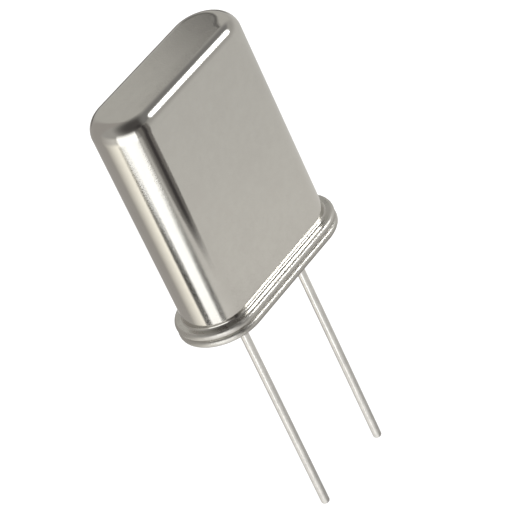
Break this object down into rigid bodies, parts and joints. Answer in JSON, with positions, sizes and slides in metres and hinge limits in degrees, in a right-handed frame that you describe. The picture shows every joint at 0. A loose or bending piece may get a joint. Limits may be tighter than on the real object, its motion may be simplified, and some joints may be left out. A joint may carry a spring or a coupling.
{
  "type": "quartz crystal unit",
  "caption": "Round-ended metal can welded to a flanged header with straight wire leads; its sealed quartz blank sets the frequency of an oscillator circuit.",
  "frame": {"origin": "centre of the header's underside, the face that seats on a circuit board", "axes": "+Z from the seat towards the can's closed top, +X along the broad face from the left lead to the right lead, -Y out of the front face"},
  "size_m": [0.0108, 0.0046, 0.0255],
  "materials": {
    "can_nickel": "bright nickel plate over drawn steel, faint draw lines",
    "header_nickel": "nickel plate over coined steel, satin",
    "seal_glass": "dark green sealing glass, glossy",
    "lead_tin": "tinned iron-nickel wire, finely scratched along its length",
    "clip_nickel": "rolled nickel strip, satin",
    "quartz": "lapped quartz, frosted",
    "electrode_silver": "evaporated silver film, smooth",
    "silver_epoxy": "cured silver-filled epoxy, dull and slightly lumpy"
  },
  "bodies": {
    "root": {"can": "can_nickel", "header_base": "header_nickel", "glass_seal_left": "seal_glass", "glass_seal_right": "seal_glass", "lead_left": "lead_tin", "lead_right": "lead_tin", "clip_left": "clip_nickel", "clip_right": "clip_nickel", "quartz_blank": "quartz", "electrode_front": "electrode_silver", "electrode_back": "electrode_silver", "adhesive_left": "silver_epoxy", "adhesive_right": "silver_epoxy"}
  },
  "joints": []
}
